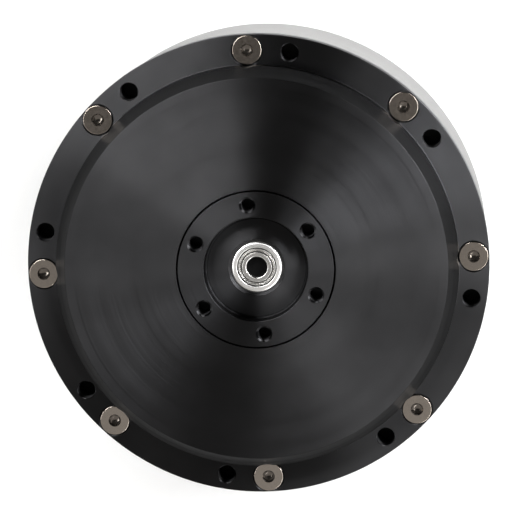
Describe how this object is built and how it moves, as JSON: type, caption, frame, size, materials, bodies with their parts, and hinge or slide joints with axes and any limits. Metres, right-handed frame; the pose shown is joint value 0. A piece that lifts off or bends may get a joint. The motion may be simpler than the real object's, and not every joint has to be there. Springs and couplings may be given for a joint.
{
  "type": "robot joint actuator",
  "caption": "Flat round robot joint actuator: outer-rotor motor, planetary gear stage and driver board in one housing with a bolt-on output hub.",
  "frame": {"origin": "centre of the rear cover's outer face, which the part lies on", "axes": "+Z along the output axis, out of the output face; +X through one cover screw"},
  "size_m": [0.089, 0.089, 0.0502],
  "materials": {
    "black_anodised": "fine-turned, black anodised",
    "black_anodised_hub": "turned, black anodised",
    "silver_barrel": "matt bead-blasted, clear anodised",
    "black_cover": "satin black anodised",
    "screw_steel": "stainless, satin",
    "dark_screw": "black oxide",
    "gear_steel": "ground steel",
    "bearing_steel": "polished bearing steel",
    "bearing_shield": "bright pressed steel",
    "bush_bronze": "sintered bronze",
    "rotor_alloy": "machined",
    "magnet_nickel": "nickel plated",
    "rotor_iron": "turned steel",
    "lamination": "stacked laminations, varnished",
    "copper": "enamelled copper wire",
    "board_green": "solder-masked laminate",
    "chip_black": "moulded epoxy",
    "pad_grey": "soft thermal pad",
    "socket_yellow": "moulded nylon",
    "socket_white": "moulded nylon",
    "pin_gold": "gold-plated"
  },
  "bodies": {
    "housing": {"front_cover": "black_anodised", "barrel": "silver_barrel", "rear_cover": "black_cover", "cover_screws": "screw_steel", "rear_screws": "dark_screw", "ring_gear": "gear_steel", "ring_gear_pins": "gear_steel", "output_bearing_outer": "bearing_steel", "front_rotor_bearing_outer": "bearing_steel", "rear_rotor_bearing_outer": "bearing_steel", "stator_hub": "rotor_alloy", "stator_core": "lamination", "stator_windings": "copper", "phase_leads": "copper", "driver_board": "board_green", "board_standoffs": "bush_bronze", "board_screws": "screw_steel", "power_transistors": "chip_black", "capacitors": "chip_black", "controller_chip": "chip_black", "encoder_chip": "chip_black", "thermal_pads": "pad_grey", "power_socket": "socket_yellow", "bus_socket": "socket_white", "setup_socket": "socket_white", "socket_pins": "pin_gold"},
    "output": {"output_flange": "black_anodised_hub", "carrier_rear_plate": "gear_steel", "carrier_screws": "dark_screw", "planet_pins": "gear_steel", "output_bearing_inner": "bearing_steel", "output_bearing_balls": "bearing_steel", "centre_bearing_outer": "bearing_steel", "centre_bearing_shield": "bearing_shield"},
    "rotor": {"sun_shaft": "gear_steel", "rotor_bell": "rotor_alloy", "back_iron": "rotor_iron", "magnets": "magnet_nickel", "encoder_magnet": "magnet_nickel", "centre_bearing_inner": "bearing_steel", "front_rotor_bearing_inner": "bearing_steel", "rear_rotor_bearing_inner": "bearing_steel"},
    "planet_1": {"planet_gear_1": "gear_steel", "planet_bush_1": "bush_bronze"},
    "planet_2": {"planet_gear_2": "gear_steel", "planet_bush_2": "bush_bronze"},
    "planet_3": {"planet_gear_3": "gear_steel", "planet_bush_3": "bush_bronze"}
  },
  "joints": [
    {"name": "rotor_spin", "type": "hinge", "parent": "housing", "child": "rotor", "pos_m": [0, 0, 0], "axis": [0, 0, 1], "continuous": true},
    {"name": "output_turn", "type": "hinge", "parent": "housing", "child": "output", "pos_m": [0, 0, 0], "axis": [0, 0, 1], "continuous": true},
    {"name": "planet_1_spin", "type": "hinge", "parent": "output", "child": "planet_1", "pos_m": [0.00646, 0.01354, 0.034], "axis": [0, 0, 1], "continuous": true},
    {"name": "planet_2_spin", "type": "hinge", "parent": "output", "child": "planet_2", "pos_m": [-0.01495, -0.00118, 0.034], "axis": [0, 0, 1], "continuous": true},
    {"name": "planet_3_spin", "type": "hinge", "parent": "output", "child": "planet_3", "pos_m": [0.0085, -0.01236, 0.034], "axis": [0, 0, 1], "continuous": true}
  ],
  "couplings": [
    {"joint": "output_turn", "follows": "rotor_spin", "ratio": 0.1},
    {"joint": "planet_1_spin", "follows": "rotor_spin", "ratio": -0.225},
    {"joint": "planet_2_spin", "follows": "rotor_spin", "ratio": -0.225},
    {"joint": "planet_3_spin", "follows": "rotor_spin", "ratio": -0.225}
  ]
}
